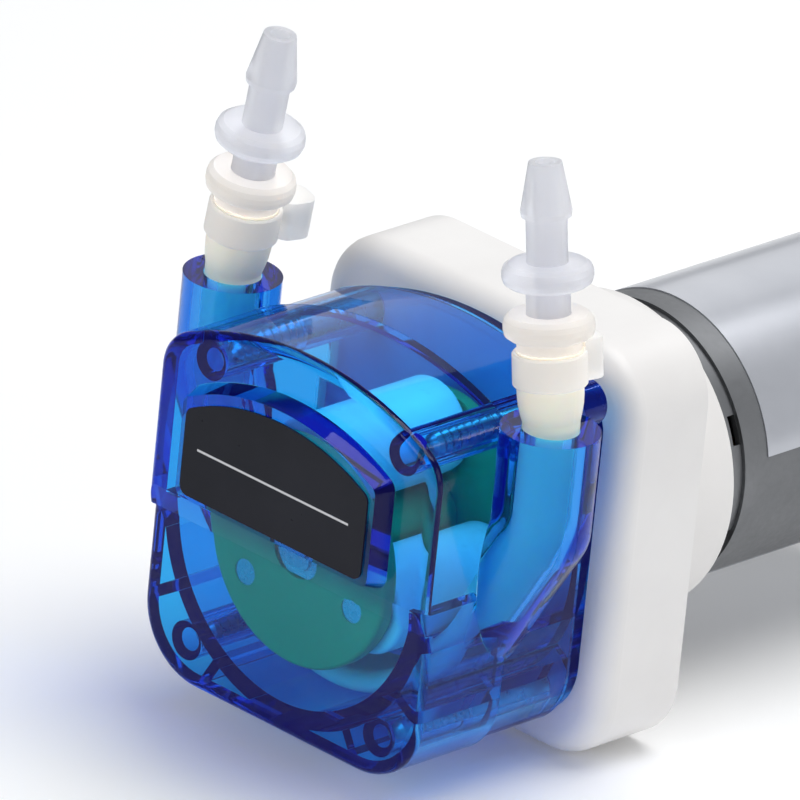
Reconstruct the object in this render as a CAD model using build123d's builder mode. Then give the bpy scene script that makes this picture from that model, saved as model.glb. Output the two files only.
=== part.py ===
"""Peristaltic tube pump: clear two-part head, three-roller rotor, white base with a gear stage,
brushed DC motor.

All sizes are millimetres. +Z is up, the front of the pump looks toward -Y and the motor runs
toward +Y. The origin lies on the motor axis in the plane of the base plate's back rim, the face
that lies against a panel. Every part is built in its final place.
"""

import os
from math import acos, cos, pi, radians, sin, tan

from build123d import *

# ---- positions along the pump axis ----
BLOCK_Y = -42.3
PANEL_Y = -40.0
WINDOW_Y = -39.0
PARTING_Y = -26.0
REAR_STEP_Y = -14.6
PLATE_FRONT_Y = -12.5
PLATE_BACK_Y = 0.0
HUB_BACK_Y = 12.5
CAN_FRONT_Y = 9.0
CAN_BACK_Y = 57.0

# ---- pump head ----
HEAD_HALF_WIDTH = 21.4
HEAD_TOP = 23.8
HEAD_BOTTOM = -21.4
ARCH_RADIUS = 43.5
TOP_CORNER = 4.8
BOTTOM_CORNER = 8.7
SHELL_WALL = 1.6
WINDOW_WALL = 1.5
RACE_RADIUS = 18.05
RACE_WALL = 2.3
RACE_LIMIT = 20.2
BOSS_RADIUS = 2.3
SELF_TAP_RADIUS = 1.32
SCREW_CLEARANCE_RADIUS = 1.45
BOSS_SPOTS = ((-15.0, 17.3), (15.0, 17.3), (-15.0, -16.6), (15.0, -16.6))
EAR_X = 21.4
EAR_Z = 20.8
EAR_RADIUS = 2.6
EAR_FRONT_Y = -20.6
EAR_BACK_Y = -16.4

# ---- tube and ports ----
PORT_X = 24.7
PORT_TOP = 21.2
PORT_RADIUS = 5.6
TUBE_RADIUS = 3.175
TUBE_BORE = 1.6
TUBE_PATH_RADIUS = 16.7
TUBE_FLAT = 2.6
TUBE_FLAT_WIDTH = 8.6
SLANT = 30.0
LEAN_LEFT = 7.0
LEAN_RIGHT = 9.5

# ---- rotor ----
ROTOR_DISC_RADIUS = 13.6
ROLLER_PITCH = 9.5
ROLLER_RADIUS = 5.6
PIN_RADIUS = 1.5
ROTOR_FRONT_Y = -37.0
ROTOR_BACK_Y = -15.0
ROTOR_DISC_THICK = 1.8
ROTOR_HUB_RADIUS = 3.3
ROTOR_HUB_FRONT_Y = -36.0
ROLLER_FRONT_Y = -34.8
ROLLER_BACK_Y = -17.2
PRESS_GAP = 0.02
RUNNING_GAP = 0.05
ROLLER_ANGLES = (216.0, 336.0, 96.0)
SHAFT_RADIUS = 2.0

# ---- gear stage ----
MODULE = 0.8
SUN_TEETH = 12
PLANET_TEETH = 12
RING_TEETH = 36
PRESSURE_ANGLE = 25.0
ADDENDUM = 0.56
DEDENDUM = 0.78
BACKLASH = 0.14
CARRIER_PITCH = MODULE * (SUN_TEETH + PLANET_TEETH) / 2
PLANET_ANGLES = (90.0, 210.0, 330.0)
PLANET_FRONT_Y = 3.2
PLANET_BACK_Y = 7.8
PLANET_PIN_RADIUS = 1.0
SUN_FRONT_Y = 3.3
SUN_BACK_Y = 8.0
SUN_TURN = 15.0
RING_BACK_Y = 8.6
CARRIER_RADIUS = 11.2
CARRIER_FRONT_Y = 0.6
CARRIER_BACK_Y = 2.6

# ---- base plate ----
PLATE_HALF_WIDTH = 24.0
PLATE_HALF_HEIGHT = 24.7
PLATE_CORNER = 8.0
HUB_RADIUS = 18.4
HUB_SHOULDER_RADIUS = 19.2
PLATE_WALL = 2.2
PLATE_ROUND = 2.8
PLATE_CAVITY_Y = -10.0
HUB_BORE_Y = 3.0
GEAR_SPACE_RADIUS = 15.6
BEARING_BOSS_RADIUS = 7.0
BEARING_BOSS_Y = -13.8
SCREW_HALF_WIDTH = 19.2
SCREW_HALF_HEIGHT = 19.9
SCREW_BOSS_RADIUS = 2.7
SCREW_PILOT_RADIUS = 1.25
SCREW_PILOT_DEPTH = 8.0
BUSH_RADIUS = 3.6
BUSH_SEAT_RADIUS = 3.62

# ---- motor ----
CAN_RADIUS = 16.5
CAN_WALL = 1.2
MOTOR_SHAFT_RADIUS = 1.6
FILM_FRONT_Y = 19.6
FILM_BACK_Y = 53.0
END_CAP_RADIUS = 15.28
END_CAP_FRONT_Y = 53.5
END_CAP_BACK_Y = 58.0
TERMINAL_X = 12.0
TERMINAL_BACK_Y = 65.0
CORE_RADIUS = 12.0
CORE_FRONT_Y = 21.0
CORE_BACK_Y = 45.5
COIL_RING = 7.8
COIL_RADIUS = 2.65
COIL_FRONT_Y = 18.0
COIL_BACK_Y = 48.5
COMMUTATOR_RADIUS = 3.6


def at_y(y):
    """Sketch plane across the pump axis; extruding from it goes toward the front."""
    return Plane(origin=(0, y, 0), x_dir=(1, 0, 0), z_dir=(0, -1, 0))


def add_disc(radius, front, back, spots=((0, 0),), mode=Mode.ADD):
    """Round bar along the pump axis between two positions."""
    with BuildSketch(at_y(back)) as face:
        with Locations(*spots):
            Circle(radius)
    extrude(face.sketch, amount=back - front, mode=mode)


def add_ring(outer, inner, front, back, mode=Mode.ADD):
    """Plain ring along the pump axis."""
    with BuildSketch(at_y(back)) as face:
        Circle(outer)
        Circle(inner, mode=Mode.SUBTRACT)
    extrude(face.sketch, amount=back - front, mode=mode)


def add_box(x0, x1, y0, y1, z0, z1, mode=Mode.ADD):
    """Box between two corners."""
    with Locations(((x0 + x1) / 2, (y0 + y1) / 2, (z0 + z1) / 2)):
        Box(x1 - x0, y1 - y0, z1 - z0, mode=mode)


def head_outline(inset):
    """Arched head outline, drawn on the current sketch."""
    top = HEAD_TOP - inset
    bottom = HEAD_BOTTOM + inset
    half = HEAD_HALF_WIDTH - inset
    with Locations((0, (top + bottom) / 2)):
        Rectangle(2 * half, top - bottom)
    with Locations((0, HEAD_TOP - ARCH_RADIUS)):
        Circle(ARCH_RADIUS - inset, mode=Mode.INTERSECT)


def head_block(inset, front, back, mode=Mode.ADD):
    """Solid block with the arched head outline."""
    with BuildSketch(at_y(back)) as outline:
        head_outline(inset)
        fillet(outline.vertices().sort_by(Axis.Y)[:2], BOTTOM_CORNER - inset)
        fillet(outline.vertices().sort_by(Axis.Y)[-2:], TOP_CORNER - inset)
    extrude(outline.sketch, amount=back - front, mode=mode)


def polar(radius, angle):
    """Point in the X-Z plane from a radius and an angle in degrees."""
    return (radius * cos(radians(angle)), radius * sin(radians(angle)))


def slant_point(side, along):
    """Point on the straight tube run that touches the race path; measured from the touch point."""
    touch_x = side * TUBE_PATH_RADIUS * cos(radians(SLANT))
    touch_z = -TUBE_PATH_RADIUS * sin(radians(SLANT))
    return (touch_x + side * along * sin(radians(SLANT)), touch_z + along * cos(radians(SLANT)))


BEND_ALONG = (PORT_X - TUBE_PATH_RADIUS * cos(radians(SLANT))) / sin(radians(SLANT))
BEND_Z = slant_point(1, BEND_ALONG)[1]
ROUND_ALONG = 9.0


def section_plane(side, along):
    """Plane across the slanted run with local x pointing away from the pump centre."""
    x, z = slant_point(side, along)
    outward = (side * cos(radians(SLANT)), 0, -sin(radians(SLANT)))
    travel = (side * sin(radians(SLANT)), 0, cos(radians(SLANT)))
    return Plane(origin=(x, PARTING_Y, z), x_dir=outward, z_dir=travel)


def tube_face(plane, thickness, width):
    """Flattened or round tube outline; local x runs from the pump centre outward."""
    with BuildSketch(plane) as face:
        SlotOverall(width, thickness, rotation=90)
    return face.sketch


def add_tube(flat, wide, radius, stop_z, mode=Mode.ADD):
    """Bar along the tube path: flattened round the race, round from there up both ports."""
    middle = tube_face(section_plane(-1, 0), flat, wide)
    revolve(middle, axis=Axis((0, PARTING_Y, 0), (0, 1, 0)), revolution_arc=-(180 - 2 * SLANT), mode=mode)
    trim = 9.0 * tan(radians(SLANT / 2))
    for side in (-1, 1):
        first = tube_face(section_plane(side, 0.0), flat, wide)
        second = tube_face(section_plane(side, 3.0), flat, wide)
        third = tube_face(section_plane(side, ROUND_ALONG), 2 * radius, 2 * radius + 0.02)
        loft([first, second], mode=mode)
        loft([second, third], mode=mode)
        x, z = slant_point(side, ROUND_ALONG)
        bend_x, bend_z = slant_point(side, BEND_ALONG - trim)
        with BuildLine() as path:
            Line((x, PARTING_Y, z), (bend_x, PARTING_Y, bend_z))
            TangentArc(
                (bend_x, PARTING_Y, bend_z),
                (side * PORT_X, PARTING_Y, BEND_Z + trim),
                tangent=(side * sin(radians(SLANT)), 0, cos(radians(SLANT))),
            )
            Line((side * PORT_X, PARTING_Y, BEND_Z + trim), (side * PORT_X, PARTING_Y, stop_z))
        with BuildSketch(section_plane(side, ROUND_ALONG)) as round_face:
            Circle(radius)
        sweep(round_face.sketch, path=path.wires()[0], mode=mode)


def lean_plane(side, along=0.0):
    """Plane across a leaning fitting, its normal pointing up the fitting."""
    lean = radians(LEAN_LEFT if side < 0 else LEAN_RIGHT)
    up = (-side * sin(lean), 0, cos(lean))
    origin = (side * PORT_X + up[0] * along, PARTING_Y, PORT_TOP + 0.6 + up[2] * along)
    return Plane(origin=origin, x_dir=(cos(lean), 0, side * sin(lean)), z_dir=up)


def add_turned(plane, profile, mode=Mode.ADD):
    """Turned shape round the normal of a plane; profile is (radius, height) pairs."""
    with BuildSketch(Plane(origin=plane.origin, x_dir=plane.x_dir, z_dir=-plane.y_dir)) as half:
        Polygon(*profile, align=None)
    revolve(half.sketch, axis=Axis(plane.origin, plane.z_dir), revolution_arc=360, mode=mode)


def involute(base_radius, radius):
    """Involute function at a radius."""
    angle = acos(min(1.0, base_radius / radius))
    return tan(angle) - angle


def gear_points(teeth, tip_radius, root_radius, thickness, turn):
    """Closed involute outline; turn is the direction of one tooth in degrees."""
    pitch_radius = MODULE * teeth / 2
    base_radius = pitch_radius * cos(radians(PRESSURE_ANGLE))
    half_pitch = thickness / (2 * pitch_radius) + involute(base_radius, pitch_radius)
    radii = [root_radius]
    start = max(root_radius + 0.02, base_radius)
    radii += [start + (tip_radius - start) * step / 6 for step in range(7)]
    half = [half_pitch - involute(base_radius, max(radius, base_radius)) for radius in radii]
    points = []
    for tooth in range(teeth):
        middle = radians(turn) + 2 * pi * tooth / teeth
        points += [(r * cos(middle - h), r * sin(middle - h)) for r, h in zip(radii, half)]
        points += [(r * cos(middle + h), r * sin(middle + h)) for r, h in zip(radii[::-1], half[::-1])]
    return points


def add_gear(teeth, front, back, turn, spot=(0, 0)):
    """External gear with its axis along the pump axis."""
    pitch_radius = MODULE * teeth / 2
    thickness = pi * MODULE / 2 - BACKLASH / 2
    outline = gear_points(teeth, pitch_radius + ADDENDUM, pitch_radius - DEDENDUM, thickness, turn)
    with BuildSketch(at_y(back)) as face:
        with Locations(spot):
            Polygon(*outline, align=None)
    extrude(face.sketch, amount=back - front)


def add_ports(radius, mode=Mode.ADD):
    """Two upright port barrels and the slanted barrels that lead into the race."""
    for side in (-1, 1):
        with BuildSketch(Plane(origin=(side * PORT_X, PARTING_Y, BEND_Z))) as upright:
            Circle(radius)
        extrude(upright.sketch, amount=PORT_TOP - BEND_Z, mode=mode)
        with BuildSketch(section_plane(side, 0)) as slanted:
            Circle(radius)
        extrude(slanted.sketch, amount=BEND_ALONG, mode=mode)
        with Locations((side * PORT_X, PARTING_Y, BEND_Z)):
            Sphere(radius, mode=mode)


def add_race_wall(front, back):
    """Lower half ring that backs the tube, with ribs that end inside the shell wall."""
    with BuildSketch(at_y(back)) as wall:
        Circle(RACE_RADIUS + RACE_WALL)
        with Locations((0, RACE_RADIUS + 2)):
            Rectangle(60, 2 * RACE_RADIUS + 4, mode=Mode.SUBTRACT)
        Circle(RACE_RADIUS, mode=Mode.SUBTRACT)
        for angle in (212.0, 240.0, 300.0, 328.0):
            with Locations(Location(polar(RACE_RADIUS + 3.6, angle), angle)):
                Rectangle(5.0, 1.3)
        Rectangle(2 * RACE_LIMIT, 2 * RACE_LIMIT, mode=Mode.INTERSECT)
    extrude(wall.sketch, amount=back - front)


def cut_half(keep_front):
    """Remove everything behind (or in front of) the parting plane."""
    if keep_front:
        add_box(-60, 60, PARTING_Y, PARTING_Y + 60, -60, 60, Mode.SUBTRACT)
    else:
        add_box(-60, 60, PARTING_Y - 60, PARTING_Y, -60, 60, Mode.SUBTRACT)


def label_outline(half, bottom, side_top, peak, corner):
    """Arched label outline, drawn on the current sketch."""
    with BuildLine() as edge:
        Polyline((half, side_top), (half, bottom), (-half, bottom), (-half, side_top))
        ThreePointArc((-half, side_top), (0, peak), (half, side_top))
    make_face(edge.edges())


# ---------------------------------------------------------------- pump head shells

with BuildPart() as front_shell:
    head_block(0.0, WINDOW_Y, PARTING_Y)
    front_edges = front_shell.edges().group_by(Axis.Y)[0]
    fillet(front_edges, 1.2)
    with BuildSketch(at_y(PARTING_Y)) as panel:
        head_outline(0.0)
        fillet(panel.vertices().sort_by(Axis.Y)[-2:], TOP_CORNER)
        with Locations((0, -32.0)):
            Rectangle(80, 60, mode=Mode.SUBTRACT)
    extrude(amount=PARTING_Y - PANEL_Y)
    panel_edges = front_shell.edges().group_by(Axis.Y)[0].filter_by_position(Axis.Z, -1, 40)
    fillet(panel_edges.sort_by(Axis.Z)[1:], 1.2)
    with BuildSketch(Plane.YZ.offset(-30)):
        Polygon((PANEL_Y - 1, 0.85), (PANEL_Y, 0.85), (WINDOW_Y, -2.05), (PANEL_Y - 1, -2.05), align=None)
    extrude(amount=60, mode=Mode.SUBTRACT)
    with BuildSketch(at_y(PANEL_Y)) as block:
        label_outline(15.75, 1.5, 14.4, 18.6, 1.6)
        fillet(block.vertices(), 1.8)
    extrude(amount=PANEL_Y - BLOCK_Y, taper=20)
    add_ports(PORT_RADIUS)
    cut_half(True)
    head_block(SHELL_WALL, WINDOW_Y + WINDOW_WALL, PARTING_Y, Mode.SUBTRACT)
    add_race_wall(WINDOW_Y + WINDOW_WALL, PARTING_Y)
    add_disc(BOSS_RADIUS, WINDOW_Y + WINDOW_WALL, PARTING_Y, BOSS_SPOTS)
    add_disc(SELF_TAP_RADIUS, WINDOW_Y + WINDOW_WALL + 1.0, PARTING_Y, BOSS_SPOTS, Mode.SUBTRACT)
    add_tube(TUBE_FLAT + 0.1, TUBE_FLAT_WIDTH + 0.3, TUBE_RADIUS + 0.08, PORT_TOP + 2, Mode.SUBTRACT)
front_shell.part.label = "front_shell"

with BuildPart() as rear_shell:
    head_block(0.5, PARTING_Y, REAR_STEP_Y)
    head_block(1.1, REAR_STEP_Y, PLATE_FRONT_Y)
    add_ports(PORT_RADIUS)
    cut_half(False)
    add_box(EAR_X - 4.4, EAR_X, EAR_FRONT_Y, EAR_BACK_Y, EAR_Z - EAR_RADIUS, EAR_Z)
    add_disc(EAR_RADIUS, EAR_FRONT_Y, EAR_BACK_Y, ((EAR_X, EAR_Z),))
    head_block(SHELL_WALL + 0.5, PARTING_Y, PLATE_FRONT_Y - WINDOW_WALL, Mode.SUBTRACT)
    add_race_wall(PARTING_Y, PLATE_FRONT_Y - WINDOW_WALL)
    add_disc(BOSS_RADIUS, PARTING_Y, PLATE_FRONT_Y - WINDOW_WALL, BOSS_SPOTS)
    add_disc(SCREW_CLEARANCE_RADIUS, PARTING_Y, PLATE_FRONT_Y, BOSS_SPOTS, Mode.SUBTRACT)
    add_disc(7.05, PLATE_FRONT_Y - WINDOW_WALL, PLATE_FRONT_Y, mode=Mode.SUBTRACT)
    add_tube(TUBE_FLAT + 0.1, TUBE_FLAT_WIDTH + 0.3, TUBE_RADIUS + 0.08, PORT_TOP + 2, Mode.SUBTRACT)
rear_shell.part.label = "rear_shell"

with BuildPart() as label_plate:
    with BuildSketch(at_y(BLOCK_Y)) as label_face:
        label_outline(14.1, 2.9, 12.9, 16.5, 1.0)
        fillet(label_face.vertices(), 1.2)
    extrude(label_face.sketch, amount=0.25)
label_plate.part.label = "label_plate"

with BuildPart() as shell_screws:
    for spot in BOSS_SPOTS:
        profile = [(0, -10.0), (0, -35.0), (0.5, -34.9)]
        for turn in range(7):
            profile += [(1.05, -34.6 + turn * 1.2), (1.28, -34.0 + turn * 1.2), (1.05, -33.6 + turn * 1.2)]
        profile += [(1.28, -25.8), (1.28, -10.0), (2.2, -10.0), (2.2, -9.0), (1.6, -8.3), (0, -8.3)]
        with BuildSketch(Plane(origin=(spot[0], 0, spot[1]))) as half:
            Polygon(*profile, align=None)
        revolve(half.sketch, axis=Axis((spot[0], 0, spot[1]), (0, 1, 0)), revolution_arc=360)
        add_box(spot[0] - 1.5, spot[0] + 1.5, -8.9, -8.0, spot[1] - 0.3, spot[1] + 0.3, Mode.SUBTRACT)
        add_box(spot[0] - 0.3, spot[0] + 0.3, -8.9, -8.0, spot[1] - 1.5, spot[1] + 1.5, Mode.SUBTRACT)
shell_screws.part.label = "shell_screws"

# ---------------------------------------------------------------- tube and fittings

TUBE_END = (
    (0, 0), (3.175, 0), (3.2, 0.3), (3.42, 1.2), (3.6, 2.2), (3.69, 3.2), (3.7, 4.2), (3.7, 8.4), (0, 8.4),
)

with BuildPart() as pump_tube:
    add_tube(TUBE_FLAT, TUBE_FLAT_WIDTH, TUBE_RADIUS, PORT_TOP + 0.6)
    for side in (-1, 1):
        with Locations((side * PORT_X, PARTING_Y, PORT_TOP + 0.6)):
            Sphere(TUBE_RADIUS)
        add_turned(lean_plane(side), TUBE_END)
    add_tube(0.3, 5.2, TUBE_BORE, PORT_TOP + 0.6, Mode.SUBTRACT)
    for side in (-1, 1):
        with Locations((side * PORT_X, PARTING_Y, PORT_TOP + 0.6)):
            Sphere(TUBE_BORE, mode=Mode.SUBTRACT)
        bore = ((0, 0), (1.6, 0), (1.6, 2.6), (2.4, 3.6), (2.4, 8.6), (0, 8.6))
        add_turned(lean_plane(side), bore, Mode.SUBTRACT)
pump_tube.part.label = "pump_tube"

STEM = 2.28
TIE_BAND = ((3.72, 4.4), (3.98, 4.4), (4.15, 4.6), (4.15, 8.0), (3.98, 8.2), (3.72, 8.2))
LUG_ANGLE = 78
LUG_TALL = 4.6
CONNECTOR = (
    (1.15, 3.4), (1.7, 3.4), (2.35, 5.2), (2.35, 5.8), (2.1, 6.0), (2.1, 9.6), (2.45, 9.9), (2.45, 15.7),
    (4.3, 15.7), (4.85, 16.1), (5.05, 16.7), (5.05, 17.3), (4.85, 17.9), (4.3, 18.3), (STEM, 18.3),
    (STEM, 23.4), (2.75, 23.5), (2.85, 24.1), (1.85, 29.6), (1.15, 29.6),
)
COLLAR = (
    (2.5, 9.0), (2.5, 12.5), (4.4, 12.5), (4.9, 12.0), (5.05, 11.4), (5.05, 10.8), (4.9, 10.2),
    (4.4, 9.8), (3.6, 9.6), (3.6, 8.45), (2.5, 8.45),
)


def build_fitting(side, word, lug_reach, lug_height):
    """Connector, collar and cable tie on one tube end."""
    with BuildPart() as connector:
        add_turned(lean_plane(side), CONNECTOR)
    connector.part.label = word + "_connector"
    with BuildPart() as collar:
        add_turned(lean_plane(side), COLLAR)
    collar.part.label = word + "_collar"
    with BuildPart() as tie:
        add_turned(lean_plane(side), TIE_BAND)
        with BuildSketch(lean_plane(side, lug_height)) as lug:
            with Locations(Location(polar(lug_reach, LUG_ANGLE), LUG_ANGLE)):
                RectangleRounded(4.4, 4.4, 1.5)
            Circle(3.9, mode=Mode.SUBTRACT)
        extrude(lug.sketch, amount=LUG_TALL)
    tie.part.label = word + "_tie"
    return connector, collar, tie


inlet_connector, inlet_collar, inlet_tie = build_fitting(-1, "inlet", 6.1, 4.0)
outlet_connector, outlet_collar, outlet_tie = build_fitting(1, "outlet", 4.0, 4.7)

# ---------------------------------------------------------------- rotor

ROLLER_SPOTS = [polar(ROLLER_PITCH, angle) for angle in ROLLER_ANGLES]

def build_rotor_disc(word, front, rounded):
    """One rotor disc with its three pin seats; rounded picks its outer edge, 0 front or -1 back."""
    back = front + ROTOR_DISC_THICK
    with BuildPart() as disc:
        add_disc(ROTOR_DISC_RADIUS, front, back)
        fillet(disc.edges().sort_by(Axis.Y)[rounded], 0.5)
        add_disc(PIN_RADIUS + PRESS_GAP, front, back, ROLLER_SPOTS, Mode.SUBTRACT)
        add_disc(ROTOR_HUB_RADIUS + PRESS_GAP, front, back, mode=Mode.SUBTRACT)
    disc.part.label = "rotor_" + word + "_disc"
    return disc


rotor_front_disc = build_rotor_disc("front", ROTOR_FRONT_Y, 0)
rotor_rear_disc = build_rotor_disc("rear", ROTOR_BACK_Y - ROTOR_DISC_THICK, -1)

with BuildPart() as rotor_hub:
    add_disc(ROTOR_HUB_RADIUS, ROTOR_HUB_FRONT_Y, ROTOR_BACK_Y)
    with BuildSketch(at_y(ROTOR_BACK_Y)) as bore:
        Circle(SHAFT_RADIUS + PRESS_GAP)
        with Locations((2.6, 0)):
            Rectangle(2.0, 6.0, mode=Mode.SUBTRACT)
    extrude(bore.sketch, amount=ROTOR_BACK_Y - ROTOR_HUB_FRONT_Y, mode=Mode.SUBTRACT)
rotor_hub.part.label = "rotor_hub"

with BuildPart() as rotor_clip:
    add_ring(3.1, SHAFT_RADIUS + PRESS_GAP, -36.6, -36.05)
rotor_clip.part.label = "rotor_clip"

with BuildPart() as roller_pins:
    add_disc(PIN_RADIUS, ROTOR_FRONT_Y + 0.1, ROTOR_BACK_Y - 0.1, ROLLER_SPOTS)
roller_pins.part.label = "roller_pins"

with BuildPart() as output_shaft:
    add_disc(SHAFT_RADIUS, ROTOR_FRONT_Y + 0.1, CARRIER_BACK_Y)
    add_box(1.58, 3.0, ROTOR_HUB_FRONT_Y, ROTOR_BACK_Y, -3.0, 3.0, Mode.SUBTRACT)
output_shaft.part.label = "output_shaft"


def build_roller(number):
    """One roller with its bore."""
    spot = [ROLLER_SPOTS[number - 1]]
    with BuildPart() as roller:
        add_disc(ROLLER_RADIUS, ROLLER_FRONT_Y, ROLLER_BACK_Y, spot)
        fillet(roller.edges().filter_by(GeomType.CIRCLE), 0.6)
        add_disc(PIN_RADIUS + RUNNING_GAP, ROLLER_FRONT_Y, ROLLER_BACK_Y, spot, Mode.SUBTRACT)
    roller.part.label = "roller_" + str(number)
    return roller


rollers = [build_roller(number) for number in (1, 2, 3)]

# ---------------------------------------------------------------- base plate and bushes

with BuildPart() as base_plate:
    with BuildSketch(at_y(PLATE_BACK_Y)) as plate_face:
        RectangleRounded(2 * PLATE_HALF_WIDTH, 2 * PLATE_HALF_HEIGHT, PLATE_CORNER)
    extrude(plate_face.sketch, amount=PLATE_BACK_Y - PLATE_FRONT_Y)
    fillet(base_plate.edges().group_by(Axis.Y)[0], PLATE_ROUND)
    with BuildSketch(at_y(PLATE_BACK_Y)) as cavity_face:
        RectangleRounded(
            2 * (PLATE_HALF_WIDTH - PLATE_WALL),
            2 * (PLATE_HALF_HEIGHT - PLATE_WALL),
            PLATE_CORNER - PLATE_WALL,
        )
    extrude(cavity_face.sketch, amount=PLATE_BACK_Y - PLATE_CAVITY_Y, mode=Mode.SUBTRACT)
    screw_corners = [(x, z) for x in (-SCREW_HALF_WIDTH, SCREW_HALF_WIDTH)
                     for z in (SCREW_HALF_HEIGHT, -SCREW_HALF_HEIGHT)]
    add_disc(SCREW_BOSS_RADIUS, PLATE_CAVITY_Y, PLATE_BACK_Y, screw_corners)
    add_disc(HUB_SHOULDER_RADIUS, PLATE_FRONT_Y + 2.0, PLATE_BACK_Y)
    add_disc(HUB_RADIUS, PLATE_FRONT_Y + 2.0, HUB_BACK_Y)
    fillet(base_plate.edges().sort_by(Axis.Y)[-1], 0.6)
    add_disc(GEAR_SPACE_RADIUS, PLATE_CAVITY_Y, HUB_BORE_Y, mode=Mode.SUBTRACT)
    add_disc(CAN_RADIUS + PRESS_GAP, HUB_BORE_Y, HUB_BACK_Y, mode=Mode.SUBTRACT)
    add_disc(BEARING_BOSS_RADIUS, BEARING_BOSS_Y, PLATE_BACK_Y)
    with BuildSketch(at_y(-2.0)) as ribs:
        for angle in range(0, 360, 60):
            with Locations(Location(polar(11.5, angle), angle)):
                Rectangle(9.6, 1.4)
    extrude(ribs.sketch, amount=8.5)
    add_disc(BUSH_SEAT_RADIUS, BEARING_BOSS_Y, PLATE_BACK_Y, mode=Mode.SUBTRACT)
    add_disc(SCREW_CLEARANCE_RADIUS, PLATE_FRONT_Y, PLATE_CAVITY_Y, BOSS_SPOTS, Mode.SUBTRACT)
    add_disc(SCREW_PILOT_RADIUS, PLATE_BACK_Y - SCREW_PILOT_DEPTH, PLATE_BACK_Y, screw_corners, Mode.SUBTRACT)
base_plate.part.label = "base_plate"

with BuildPart() as output_bush_front:
    add_ring(BUSH_RADIUS, SHAFT_RADIUS + RUNNING_GAP, -13.7, -9.5)
output_bush_front.part.label = "output_bush_front"

with BuildPart() as output_bush_rear:
    add_ring(BUSH_RADIUS, SHAFT_RADIUS + RUNNING_GAP, -4.2, -0.1)
output_bush_rear.part.label = "output_bush_rear"

# ---------------------------------------------------------------- gear stage

PLANET_SPOTS = [polar(CARRIER_PITCH, angle) for angle in PLANET_ANGLES]

with BuildPart() as planet_carrier:
    add_disc(CARRIER_RADIUS, CARRIER_FRONT_Y, CARRIER_BACK_Y)
    add_disc(PLANET_PIN_RADIUS + PRESS_GAP, CARRIER_FRONT_Y, CARRIER_BACK_Y, PLANET_SPOTS, Mode.SUBTRACT)
    add_disc(SHAFT_RADIUS + PRESS_GAP / 2, CARRIER_FRONT_Y, CARRIER_BACK_Y, mode=Mode.SUBTRACT)
planet_carrier.part.label = "planet_carrier"

with BuildPart() as planet_pins:
    add_disc(PLANET_PIN_RADIUS, CARRIER_FRONT_Y, PLANET_BACK_Y + 0.4, PLANET_SPOTS)
planet_pins.part.label = "planet_pins"


def build_planet(number):
    """One planet gear."""
    spot = PLANET_SPOTS[number - 1]
    with BuildPart() as planet:
        add_gear(PLANET_TEETH, PLANET_FRONT_Y, PLANET_BACK_Y, PLANET_ANGLES[number - 1], spot)
        add_disc(PLANET_PIN_RADIUS + RUNNING_GAP, PLANET_FRONT_Y, PLANET_BACK_Y, [spot], Mode.SUBTRACT)
    planet.part.label = "planet_gear_" + str(number)
    return planet


planets = [build_planet(number) for number in (1, 2, 3)]

with BuildPart() as sun_gear:
    add_gear(SUN_TEETH, SUN_FRONT_Y, SUN_BACK_Y, SUN_TURN)
    add_disc(MOTOR_SHAFT_RADIUS + PRESS_GAP / 2, SUN_FRONT_Y, SUN_BACK_Y, mode=Mode.SUBTRACT)
sun_gear.part.label = "sun_gear"

with BuildPart() as ring_gear:
    add_disc(CAN_RADIUS, HUB_BORE_Y, RING_BACK_Y)
    ring_pitch = MODULE * RING_TEETH / 2
    ring_space = gear_points(
        RING_TEETH, ring_pitch + DEDENDUM, ring_pitch - ADDENDUM, pi * MODULE / 2 + BACKLASH / 2, 0.0
    )
    with BuildSketch(at_y(RING_BACK_Y)) as ring_face:
        Polygon(*ring_space, align=None)
    extrude(ring_face.sketch, amount=RING_BACK_Y - HUB_BORE_Y, mode=Mode.SUBTRACT)
ring_gear.part.label = "ring_gear"

# ---------------------------------------------------------------- motor

SLOT_ANGLES = (25.0, 155.0, 205.0, 335.0)

with BuildPart() as motor_can:
    add_disc(CAN_RADIUS, CAN_FRONT_Y, CAN_BACK_Y)
    fillet(motor_can.edges().sort_by(Axis.Y)[0], 0.8)
    add_disc(CAN_RADIUS - CAN_WALL, CAN_FRONT_Y + 1.5, CAN_BACK_Y, mode=Mode.SUBTRACT)
    add_disc(4.02, CAN_FRONT_Y, CAN_FRONT_Y + 1.5, mode=Mode.SUBTRACT)
    add_ring(CAN_RADIUS + 1, CAN_RADIUS - 0.45, 14.4, 16.0, Mode.SUBTRACT)
    for angle in SLOT_ANGLES:
        x, z = polar(CAN_RADIUS - 0.5, angle)
        with Locations(Location((x, 15.2, z), (0, -angle, 0))):
            Box(2.6, 1.5, 3.4, mode=Mode.SUBTRACT)
motor_can.part.label = "motor_can"

with BuildPart() as motor_label:
    with BuildSketch(at_y(FILM_BACK_Y)) as film:
        Circle(CAN_RADIUS + 0.14)
        Circle(CAN_RADIUS + 0.01, mode=Mode.SUBTRACT)
        Polygon((0, 0), polar(40, 300), polar(40, 335), polar(40, 371), align=None, mode=Mode.SUBTRACT)
    extrude(film.sketch, amount=FILM_BACK_Y - FILM_FRONT_Y)
motor_label.part.label = "motor_label"

with BuildPart() as motor_magnets:
    with BuildSketch(at_y(49.0)) as arcs:
        Circle(15.25)
        Circle(12.6, mode=Mode.SUBTRACT)
        Rectangle(40, 9, mode=Mode.SUBTRACT)
    extrude(arcs.sketch, amount=31.0)
motor_magnets.part.label = "motor_magnets"

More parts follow.
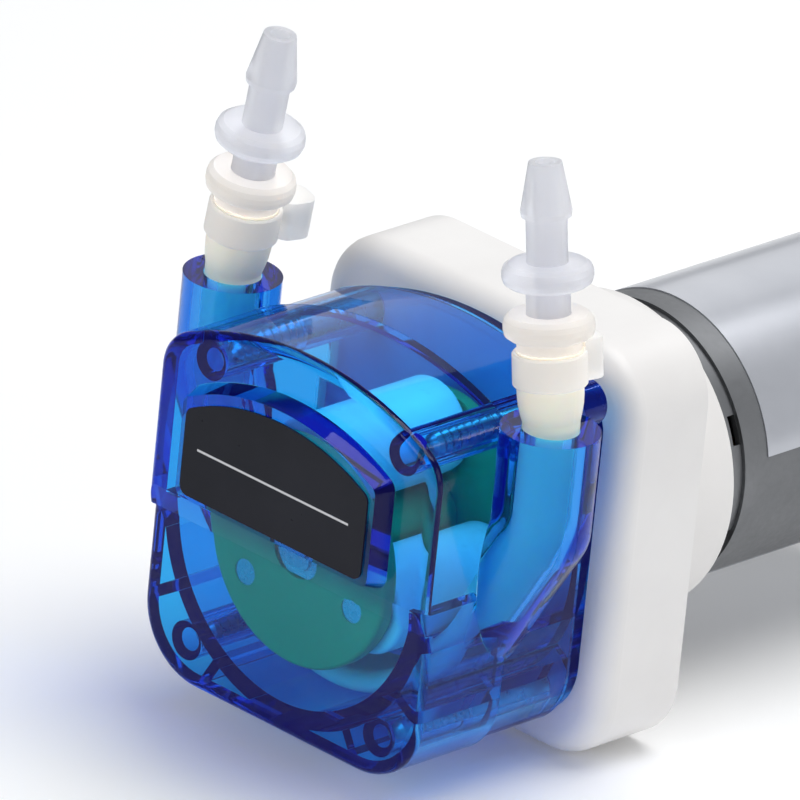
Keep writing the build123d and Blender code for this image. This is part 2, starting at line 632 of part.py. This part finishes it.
with BuildPart() as motor_end_cap:
    add_disc(END_CAP_RADIUS, END_CAP_FRONT_Y, END_CAP_BACK_Y)
    add_disc(4.6, END_CAP_BACK_Y, END_CAP_BACK_Y + 2.0)
    for side in (-1, 1):
        add_box(side * 8.25 - 3.25, side * 8.25 + 3.25, 49.6, END_CAP_FRONT_Y, -2.6, 2.6)
        add_box(side * 8.25 - 3.3, side * 8.25 + 3.3, 50.4, 52.9, -1.3, 1.3, Mode.SUBTRACT)
        x = side * TERMINAL_X
        add_box(x - 0.35, x + 0.35, END_CAP_FRONT_Y, END_CAP_BACK_Y, -2.45, 2.45, Mode.SUBTRACT)
    add_disc(3.0, END_CAP_FRONT_Y, END_CAP_BACK_Y + 0.2, mode=Mode.SUBTRACT)
motor_end_cap.part.label = "motor_end_cap"

with BuildPart() as motor_terminals:
    for side in (-1, 1):
        x = side * TERMINAL_X
        add_box(x - 0.3, x + 0.3, END_CAP_FRONT_Y, TERMINAL_BACK_Y, -2.4, 2.4)
        with Locations(Location((x, TERMINAL_BACK_Y - 3.0, 0), (0, 90, 0))):
            Cylinder(0.9, 3.0, mode=Mode.SUBTRACT)
motor_terminals.part.label = "motor_terminals"

with BuildPart() as motor_brushes:
    for side in (-1, 1):
        add_box(side * 7.4 - 3.4, side * 7.4 + 3.4, 50.45, 52.85, -1.25, 1.25)
motor_brushes.part.label = "motor_brushes"

with BuildPart() as motor_bush_front:
    add_ring(4.0, MOTOR_SHAFT_RADIUS + RUNNING_GAP, 8.4, 12.5)
motor_bush_front.part.label = "motor_bush_front"

with BuildPart() as motor_bush_rear:
    add_ring(2.98, MOTOR_SHAFT_RADIUS + RUNNING_GAP, 53.6, 58.1)
motor_bush_rear.part.label = "motor_bush_rear"

with BuildPart() as motor_shaft:
    add_disc(MOTOR_SHAFT_RADIUS, 3.1, 57.6)
motor_shaft.part.label = "motor_shaft"

with BuildPart() as armature_core:
    with BuildSketch(at_y(CORE_BACK_Y)) as stack:
        Circle(CORE_RADIUS)
        for angle in range(0, 360, 72):
            with Locations(Location(polar(COIL_RING, angle), angle)):
                Circle(COIL_RADIUS + 0.05, mode=Mode.SUBTRACT)
            with Locations(Location(polar(10.5, angle), angle)):
                Rectangle(6.0, 1.4, mode=Mode.SUBTRACT)
        Circle(MOTOR_SHAFT_RADIUS + PRESS_GAP / 2, mode=Mode.SUBTRACT)
    extrude(stack.sketch, amount=CORE_BACK_Y - CORE_FRONT_Y)
armature_core.part.label = "armature_core"

with BuildPart() as armature_windings:
    coil_spots = [polar(COIL_RING, angle) for angle in range(0, 360, 72)]
    add_disc(COIL_RADIUS, COIL_FRONT_Y, COIL_BACK_Y, coil_spots)
    add_ring(10.6, 3.6, COIL_FRONT_Y, CORE_FRONT_Y - 0.1)
    add_ring(10.6, 3.6, CORE_BACK_Y + 0.1, COIL_BACK_Y)
armature_windings.part.label = "armature_windings"

with BuildPart() as commutator:
    add_ring(COMMUTATOR_RADIUS, MOTOR_SHAFT_RADIUS + PRESS_GAP / 2, 48.8, 53.2)
    for angle in range(0, 360, 72):
        x, z = polar(COMMUTATOR_RADIUS, angle + 36)
        with Locations(Location((x, 51.4, z), (0, -angle - 36, 0))):
            Box(0.8, 3.7, 0.4, mode=Mode.SUBTRACT)
commutator.part.label = "commutator"

ALL_PARTS = [
    front_shell, rear_shell, label_plate, shell_screws, pump_tube,
    inlet_connector, inlet_collar, inlet_tie, outlet_connector, outlet_collar, outlet_tie,
    rotor_front_disc, rotor_rear_disc, rotor_hub, rotor_clip, roller_pins, output_shaft, *rollers,
    base_plate, output_bush_front, output_bush_rear,
    planet_carrier, planet_pins, *planets, sun_gear, ring_gear,
    motor_can, motor_label, motor_magnets, motor_end_cap, motor_terminals, motor_brushes,
    motor_bush_front, motor_bush_rear, motor_shaft, armature_core, armature_windings, commutator,
]

os.makedirs("parts", exist_ok=True)
for item in ALL_PARTS:
    export_step(item.part, "parts/" + item.part.label + ".step")
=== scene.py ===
"""Looks of a peristaltic pump: clear blue head, green rotor, white base and grey motor.

The shapes all come from the CAD nodes. This script adds the camera, the materials, the floor
and the lamps. Lengths are metres in the CAD frame: +Y runs from the head to the motor, +Z is up.
"""

import math

import bpy
from mathutils import Matrix, Vector


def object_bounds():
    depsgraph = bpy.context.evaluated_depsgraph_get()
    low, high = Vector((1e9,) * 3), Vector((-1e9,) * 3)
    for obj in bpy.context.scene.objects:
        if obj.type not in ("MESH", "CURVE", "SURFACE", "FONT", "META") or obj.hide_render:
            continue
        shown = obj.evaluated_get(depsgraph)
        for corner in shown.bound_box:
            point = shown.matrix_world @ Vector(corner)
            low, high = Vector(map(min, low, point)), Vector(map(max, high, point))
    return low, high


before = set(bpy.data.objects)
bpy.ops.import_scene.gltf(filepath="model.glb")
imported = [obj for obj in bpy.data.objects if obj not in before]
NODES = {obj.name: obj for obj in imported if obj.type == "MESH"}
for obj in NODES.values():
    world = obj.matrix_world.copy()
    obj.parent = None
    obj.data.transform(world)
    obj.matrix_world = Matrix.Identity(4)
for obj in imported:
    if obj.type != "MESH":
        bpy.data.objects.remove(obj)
cad_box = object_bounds()

MM = 0.001

# ---------------------------------------------------------------- camera

AZIMUTH = 42.65
ELEVATION = 23.65
ROLL = 5.8
DISTANCE = 2.0
SENSOR = 36.0
VIEW_WIDTH = 87.912 * MM
AIM_POINT = Vector((-2.672, -20.777, 12.905)) * MM
FARTHEST_SEEN = 20.0

# ---------------------------------------------------------------- floor, world and lamps

FLOOR_HALF_SIZE = 3.0
FLOOR_GAP = 0.5 * MM
FLOOR_DARK = (0.93, 0.93, 0.93)
FLOOR_LIGHT = (0.96, 0.96, 0.96)
FLOOR_MOTTLE_SCALE = 3.0
FLOOR_ROUGHNESS = 0.7
FLOOR_GLOW = 0.06
WORLD_COLOUR = (0.90, 0.945, 1.0)
WORLD_STRENGTH = 0.21
# name, place, point it faces, width and height, watts
LAMPS = (
    ("key_top", (0.12, 0.22, 0.78), (0.0, -0.01, 0.0), (0.7, 0.6), 5.9),
    ("side_right", (0.85, 0.30, 0.30), (0.0, 0.0, 0.0), (0.5, 0.5), 1.4),
    ("fill_front", (-0.05, -0.92, 0.42), (0.0, -0.02, 0.02), (0.5, 0.5), 3.0),
    ("rim_back", (-0.80, 0.88, 0.55), (0.0, 0.0, 0.0), (0.8, 0.8), 1.6),
)

# ---------------------------------------------------------------- label

RULE_LEFT = -11.9 * MM
RULE_RIGHT = 11.6 * MM
RULE_BOTTOM = 8.65 * MM
RULE_TOP = 8.92 * MM
RULE_SOFTNESS = 0.03 * MM
RULE_COLOUR = (0.62, 0.62, 0.64)
LABEL_DARK = (0.008, 0.009, 0.014)
LABEL_LIGHT = (0.014, 0.015, 0.022)
LABEL_MOTTLE_SCALE = 70.0
LABEL_GRAIN_SCALE = 900.0
LABEL_ROUGH = (0.26, 0.40)
LABEL_BUMP = 0.003 * MM
LABEL_BUMP_STRENGTH = 0.4
LABEL_SPECULAR = 0.12

# ---------------------------------------------------------------- surfaces

SHELL_GAP = 0.02 * MM
GRAIN_START = 0.2
GRAIN_STOP = 0.8
# opaque materials
MOTTLE_SCALE = 60.0
GRAIN_BUMP_STRENGTH = 0.5
COAT_ROUGHNESS = 0.12
SOFT_RADIUS = (1.0, 0.8, 0.6)
SOFT_DEPTH = 1.5 * MM
# see-through materials
CLEAR_MOTTLE_SCALE = 45.0
CLEAR_GRAIN_SCALE = 900.0
CLEAR_WAVE_SCALE = 160.0
CLEAR_WAVE_STRENGTH = 0.25
MILK_WEIGHT = 0.8
MILK_RADIUS = (1.0, 0.95, 0.9)
MILK_DEPTH = 2.0 * MM

# sockets of Blender's colour mix node
MIX_FACTOR = 0
MIX_FIRST = 6
MIX_SECOND = 7
MIX_RESULT = 2


def make_camera():
    """Long-lens camera that shows AIM_POINT in the middle of a VIEW_WIDTH wide picture."""
    azimuth, elevation, roll = (math.radians(angle) for angle in (AZIMUTH, ELEVATION, ROLL))
    flat = math.cos(elevation)
    back = Vector((math.sin(azimuth) * flat, -math.cos(azimuth) * flat, math.sin(elevation)))
    level_right = Vector((math.cos(azimuth), math.sin(azimuth), 0.0))
    level_up = back.cross(level_right)
    right = level_right * math.cos(roll) + level_up * math.sin(roll)
    up = level_up * math.cos(roll) - level_right * math.sin(roll)
    data = bpy.data.cameras.new("photo_camera")
    data.sensor_width = SENSOR
    data.lens = SENSOR * DISTANCE / VIEW_WIDTH
    data.clip_end = FARTHEST_SEEN
    camera = bpy.data.objects.new("photo_camera", data)
    turn = Matrix((right, up, back)).transposed().to_4x4()
    camera.matrix_world = Matrix.Translation(AIM_POINT + back * DISTANCE) @ turn
    bpy.context.scene.collection.objects.link(camera)
    bpy.context.scene.camera = camera


# ---------------------------------------------------------------- material helpers


class Tree:
    """A material's node tree, with short ways to add and link nodes."""

    def __init__(self, name):
        self.material = bpy.data.materials.new(name)
        self.material.use_nodes = True
        self.nodes = self.material.node_tree.nodes
        self.links = self.material.node_tree.links
        self.nodes.clear()
        self.output = self.nodes.new("ShaderNodeOutputMaterial")
        self.coords = self.nodes.new("ShaderNodeTexCoord").outputs["Object"]

    def set_input(self, socket, value):
        """Links a socket, or sets a socket's own value."""
        if isinstance(value, bpy.types.NodeSocket):
            self.links.new(value, socket)
        else:
            socket.default_value = value

    def add(self, kind, inputs, **settings):
        """New node with its settings and its inputs by name or number."""
        node = self.nodes.new(kind)
        for key, value in settings.items():
            setattr(node, key, value)
        for key, value in inputs.items():
            self.set_input(node.inputs[key], value)
        return node

    def noise(self, scale, detail=4.0, roughness=0.55, stretch=None):
        """Noise over the object, optionally stretched along an axis."""
        coords = self.coords
        if stretch:
            mapping = self.add("ShaderNodeMapping", {"Vector": coords, "Scale": stretch})
            coords = mapping.outputs[0]
        inputs = {"Vector": coords, "Scale": scale, "Detail": detail, "Roughness": roughness}
        return self.add("ShaderNodeTexNoise", inputs).outputs[0]

    def spread(self, value, low, high, start=0.3, stop=0.7):
        """Value stretched from start..stop to low..high."""
        inputs = {"Value": value, "From Min": start, "From Max": stop, "To Min": low, "To Max": high}
        return self.add("ShaderNodeMapRange", inputs).outputs[0]

    def mottle(self, noise, dark, light):
        """Two tones mixed by a noise."""
        return self.mix(self.spread(noise, 0.0, 1.0), dark, light)

    def mix(self, factor, first, second):
        """Mix of two colours, each a socket or three numbers."""
        node = self.add("ShaderNodeMix", {MIX_FACTOR: factor}, data_type="RGBA")
        for number, colour in ((MIX_FIRST, first), (MIX_SECOND, second)):
            is_socket = isinstance(colour, bpy.types.NodeSocket)
            self.set_input(node.inputs[number], colour if is_socket else (*colour, 1.0))
        return node.outputs[MIX_RESULT]

    def multiply(self, first, second):
        """Product of two values."""
        return self.add("ShaderNodeMath", {0: first, 1: second}, operation="MULTIPLY").outputs[0]

    def band(self, value, low, high, softness):
        """One where the value lies between low and high, and zero elsewhere."""
        rise = self.spread(value, 0.0, 1.0, low - softness, low + softness)
        fall = self.spread(value, 1.0, 0.0, high - softness, high + softness)
        return self.multiply(rise, fall)

    def bump(self, height, strength, distance):
        """Bumped normal."""
        inputs = {"Height": height, "Strength": strength, "Distance": distance}
        return self.add("ShaderNodeBump", inputs).outputs[0]

    def finish(self, shader):
        """Puts a shader on the output and returns the material."""
        self.links.new(shader.outputs[0], self.output.inputs["Surface"])
        return self.material


def opaque(name, dark, light, rough, grain, bump, metallic=0.0, coat=0.0, stretch=None, subsurface=0.0):
    """Opaque material: two-tone mottling, uneven roughness and a fine bumped grain."""
    tree = Tree(name)
    fine = tree.noise(grain, detail=3.0, roughness=0.6, stretch=stretch)
    inputs = {
        "Base Color": tree.mottle(tree.noise(MOTTLE_SCALE, detail=5.0), dark, light),
        "Roughness": tree.spread(fine, *rough, GRAIN_START, GRAIN_STOP),
        "Normal": tree.bump(fine, GRAIN_BUMP_STRENGTH, bump),
        "Metallic": metallic,
        "Coat Weight": coat,
        "Coat Roughness": COAT_ROUGHNESS,
    }
    if subsurface:
        inputs["Subsurface Weight"] = subsurface
        inputs["Subsurface Radius"] = SOFT_RADIUS
        inputs["Subsurface Scale"] = SOFT_DEPTH
    return tree.finish(tree.add("ShaderNodeBsdfPrincipled", inputs))


def clear(name, dark, light, rough, shadow, ior, milk=0.0, extra=None, bump=0.0, absorb=None, density=0.0):
    """See-through plastic that lets lamp light in; milk is how much of it scatters light."""
    tree = Tree(name)
    inputs = {
        "Base Color": tree.mottle(tree.noise(CLEAR_MOTTLE_SCALE, detail=3.0), dark, light),
        "Roughness": tree.spread(tree.noise(CLEAR_GRAIN_SCALE, detail=2.0), *rough),
        "Normal": tree.bump(tree.noise(CLEAR_WAVE_SCALE, detail=2.0), CLEAR_WAVE_STRENGTH, bump),
        "Transmission Weight": 1.0 - milk,
        "IOR": ior,
    }
    if milk:
        inputs["Subsurface Weight"] = MILK_WEIGHT
        inputs["Subsurface Radius"] = MILK_RADIUS
        inputs["Subsurface Scale"] = MILK_DEPTH
    if extra:
        inputs.update(extra)
    plastic = tree.add("ShaderNodeBsdfPrincipled", inputs)
    passing = tree.add("ShaderNodeBsdfTransparent", {"Color": (*shadow, 1.0)})
    to_lamp = tree.add("ShaderNodeLightPath", {}).outputs["Is Shadow Ray"]
    if absorb:
        volume = tree.add("ShaderNodeVolumeAbsorption", {"Color": (*absorb, 1.0), "Density": density})
        tree.links.new(volume.outputs[0], tree.output.inputs["Volume"])
    both = {0: to_lamp, 1: plastic.outputs[0], 2: passing.outputs[0]}
    return tree.finish(tree.add("ShaderNodeMixShader", both))


def make_label():
    """Black printed film with one pale rule across it."""
    tree = Tree("label_black")
    split = tree.add("ShaderNodeSeparateXYZ", {0: tree.coords})
    across = tree.band(split.outputs[0], RULE_LEFT, RULE_RIGHT, RULE_SOFTNESS)
    upward = tree.band(split.outputs[2], RULE_BOTTOM, RULE_TOP, RULE_SOFTNESS)
    fine = tree.noise(LABEL_GRAIN_SCALE, detail=3.0)
    ground = tree.mottle(tree.noise(LABEL_MOTTLE_SCALE), LABEL_DARK, LABEL_LIGHT)
    return tree.finish(tree.add("ShaderNodeBsdfPrincipled", {
        "Base Color": tree.mix(tree.multiply(across, upward), ground, RULE_COLOUR),
        "Roughness": tree.spread(fine, *LABEL_ROUGH, GRAIN_START, GRAIN_STOP),
        "Normal": tree.bump(fine, LABEL_BUMP_STRENGTH, LABEL_BUMP),
        "Specular IOR Level": LABEL_SPECULAR,
    }))


def paint(material, *names):
    """Puts a material on CAD nodes."""
    for name in names:
        for slot in NODES[name].material_slots:
            slot.material = material


# ---------------------------------------------------------------- materials


def paint_shells():
    """Clear blue shells, their black label and their screws."""
    # Painted light: a faint blue emission makes the shells glow, standing in for lamp light scattered
    # inside the blue plastic.
    painted_blue_glow = {"Emission Color": (0.09, 0.06, 1.0, 1.0), "Emission Strength": 0.013}
    paint(clear("clear_blue", dark=(0.17, 0.84, 0.945), light=(0.22, 0.87, 0.96), rough=(0.012, 0.04),
                shadow=(0.93, 0.992, 1.0), ior=1.28, extra=painted_blue_glow, bump=0.02 * MM,
                absorb=(0.03, 0.42, 0.885), density=290.0),
          "front_shell", "rear_shell")
    paint(make_label(), "label_plate")
    paint(opaque("screw_steel", dark=(0.42, 0.43, 0.45), light=(0.62, 0.63, 0.66), rough=(0.22, 0.38),
                 grain=900.0, bump=0.004 * MM, metallic=1.0),
          "shell_screws")


def paint_tubing():
    """Pump tube, hose barbs, collars and cable ties."""
    paint(opaque("tube_cream", dark=(0.95, 0.85, 0.73), light=(0.97, 0.90, 0.80), rough=(0.40, 0.54),
                 grain=500.0, bump=0.01 * MM, subsurface=0.9),
          "pump_tube")
    paint(clear("milky_clear", dark=(0.74, 0.745, 0.78), light=(0.80, 0.805, 0.83), rough=(0.42, 0.55),
                shadow=(0.9, 0.9, 0.92), ior=1.18, milk=0.42),
          "inlet_connector", "outlet_connector")
    paint(clear("milky_collar", dark=(0.85, 0.82, 0.78), light=(0.89, 0.865, 0.835), rough=(0.42, 0.56),
                shadow=(0.9, 0.88, 0.85), ior=1.18, milk=0.6),
          "inlet_collar", "outlet_collar")
    paint(clear("tie_nylon", dark=(0.95, 0.93, 0.90), light=(0.975, 0.955, 0.93), rough=(0.36, 0.5),
                shadow=(0.9, 0.88, 0.85), ior=1.25, milk=0.75),
          "inlet_tie", "outlet_tie")


def paint_rotor():
    """Rotor, rollers, pins and shafts."""
    paint(opaque("rotor_green", dark=(0.008, 0.38, 0.135), light=(0.02, 0.45, 0.175), rough=(0.28, 0.38),
                 grain=500.0, bump=0.01 * MM, subsurface=0.3),
          "rotor_front_disc", "rotor_rear_disc", "rotor_hub")
    paint(opaque("roller_white", dark=(0.88, 0.89, 0.89), light=(0.93, 0.93, 0.93), rough=(0.25, 0.35),
                 grain=600.0, bump=0.006 * MM),
          "roller_1", "roller_2", "roller_3")
    paint(opaque("shaft_steel", dark=(0.50, 0.50, 0.51), light=(0.66, 0.66, 0.68), rough=(0.18, 0.34),
                 grain=900.0, bump=0.004 * MM, metallic=1.0),
          "roller_pins", "output_shaft", "rotor_clip", "planet_pins", "motor_shaft")


def paint_base():
    """Base plate, bushes and the gear stage."""
    paint(opaque("white_plastic", dark=(0.80, 0.78, 0.765), light=(0.85, 0.832, 0.815), rough=(0.36, 0.46),
                 grain=1500.0, bump=0.006 * MM),
          "base_plate")
    paint(opaque("bronze", dark=(0.34, 0.20, 0.09), light=(0.45, 0.29, 0.14), rough=(0.35, 0.55),
                 grain=1200.0, bump=0.01 * MM, metallic=1.0),
          "output_bush_front", "output_bush_rear", "motor_bush_front", "motor_bush_rear")
    paint(opaque("brass", dark=(0.62, 0.44, 0.17), light=(0.74, 0.55, 0.24), rough=(0.22, 0.36),
                 grain=900.0, bump=0.006 * MM, metallic=1.0),
          "sun_gear")
    paint(opaque("gear_plastic", dark=(0.74, 0.73, 0.68), light=(0.82, 0.81, 0.76), rough=(0.36, 0.48),
                 grain=700.0, bump=0.008 * MM),
          "ring_gear", "planet_gear_1", "planet_gear_2", "planet_gear_3")
    paint(opaque("carrier_steel", dark=(0.36, 0.36, 0.38), light=(0.50, 0.50, 0.52), rough=(0.28, 0.42),
                 grain=900.0, bump=0.01 * MM, metallic=1.0),
          "planet_carrier")


def paint_motor():
    """Motor can, film, magnets and rear end."""
    paint(opaque("can_steel", dark=(0.165, 0.17, 0.178), light=(0.24, 0.246, 0.257), rough=(0.42, 0.58),
                 grain=1300.0, bump=0.012 * MM, metallic=0.85),
          "motor_can")
    paint(opaque("film_grey", dark=(0.50, 0.515, 0.56), light=(0.56, 0.575, 0.62), rough=(0.27, 0.32),
                 grain=800.0, bump=0.002 * MM, metallic=0.45, coat=0.3),
          "motor_label")
    paint(opaque("magnet_dark", dark=(0.045, 0.045, 0.05), light=(0.075, 0.075, 0.08), rough=(0.6, 0.8),
                 grain=1400.0, bump=0.02 * MM),
          "motor_magnets")
    paint(opaque("black_plastic", dark=(0.018, 0.018, 0.018), light=(0.03, 0.03, 0.03), rough=(0.42, 0.58),
                 grain=1500.0, bump=0.01 * MM),
          "motor_end_cap")
    paint(opaque("tinned_brass", dark=(0.56, 0.53, 0.44), light=(0.70, 0.68, 0.60), rough=(0.25, 0.4),
                 grain=900.0, bump=0.006 * MM, metallic=1.0),
          "motor_terminals")
    paint(opaque("carbon", dark=(0.03, 0.03, 0.03), light=(0.06, 0.06, 0.06), rough=(0.55, 0.75),
                 grain=1500.0, bump=0.02 * MM),
          "motor_brushes")


def paint_armature():
    """Core with its sheets, copper windings and commutator."""
    paint(opaque("core_steel", dark=(0.20, 0.20, 0.22), light=(0.34, 0.34, 0.36), rough=(0.35, 0.5),
                 grain=60.0, bump=0.02 * MM, metallic=1.0, stretch=(1.0, 60.0, 1.0)),
          "armature_core")
    paint(opaque("copper_wire", dark=(0.45, 0.16, 0.05), light=(0.66, 0.28, 0.10), rough=(0.22, 0.4),
                 grain=90.0, bump=0.1 * MM, metallic=1.0, stretch=(1.0, 30.0, 1.0)),
          "armature_windings")
    paint(opaque("commutator_copper", dark=(0.55, 0.26, 0.13), light=(0.72, 0.38, 0.2), rough=(0.2, 0.32),
                 grain=900.0, bump=0.006 * MM, metallic=1.0),
          "commutator")


def part_shells():
    """Pulls the shells' faces in by a hair, so that light sees each touching face by itself."""
    for name in ("front_shell", "rear_shell"):
        modifier = NODES[name].modifiers.new("shell_gap", "DISPLACE")
        modifier.strength = -SHELL_GAP
        modifier.mid_level = 0.0


# ---------------------------------------------------------------- surroundings


def make_floor():
    """Pale floor just under the object."""
    level = cad_box[0][2] - FLOOR_GAP
    half = FLOOR_HALF_SIZE
    corners = [(-half, -half, level), (half, -half, level), (half, half, level), (-half, half, level)]
    mesh = bpy.data.meshes.new("floor")
    mesh.from_pydata(corners, [], [(0, 1, 2, 3)])
    tree = Tree("floor_white")
    mesh.materials.append(tree.finish(tree.add("ShaderNodeBsdfPrincipled", {
        "Base Color": tree.mottle(tree.noise(FLOOR_MOTTLE_SCALE), FLOOR_DARK, FLOOR_LIGHT),
        "Roughness": FLOOR_ROUGHNESS,
        "Emission Color": (1.0, 1.0, 1.0, 1.0),
        "Emission Strength": FLOOR_GLOW,
    })))
    floor = bpy.data.objects.new("floor", mesh)
    bpy.context.scene.collection.objects.link(floor)


def make_world():
    """Dim, slightly cool surroundings."""
    world = bpy.data.worlds.new("studio")
    world.use_nodes = True
    background = world.node_tree.nodes["Background"]
    background.inputs["Color"].default_value = (*WORLD_COLOUR, 1.0)
    background.inputs["Strength"].default_value = WORLD_STRENGTH
    bpy.context.scene.world = world


def make_lamp(name, place, target, size, watts):
    """Soft rectangular lamp that faces a point."""
    data = bpy.data.lights.new(name, "AREA")
    data.shape = "RECTANGLE"
    data.size, data.size_y = size
    data.energy = watts
    lamp = bpy.data.objects.new(name, data)
    lamp.location = place
    lamp.rotation_euler = (Vector(target) - Vector(place)).to_track_quat("-Z", "Y").to_euler()
    bpy.context.scene.collection.objects.link(lamp)


make_camera()
paint_shells()
paint_tubing()
paint_rotor()
paint_base()
paint_motor()
paint_armature()
part_shells()
make_floor()
make_world()
for lamp_row in LAMPS:
    make_lamp(*lamp_row)
bpy.context.scene.view_settings.view_transform = "Standard"
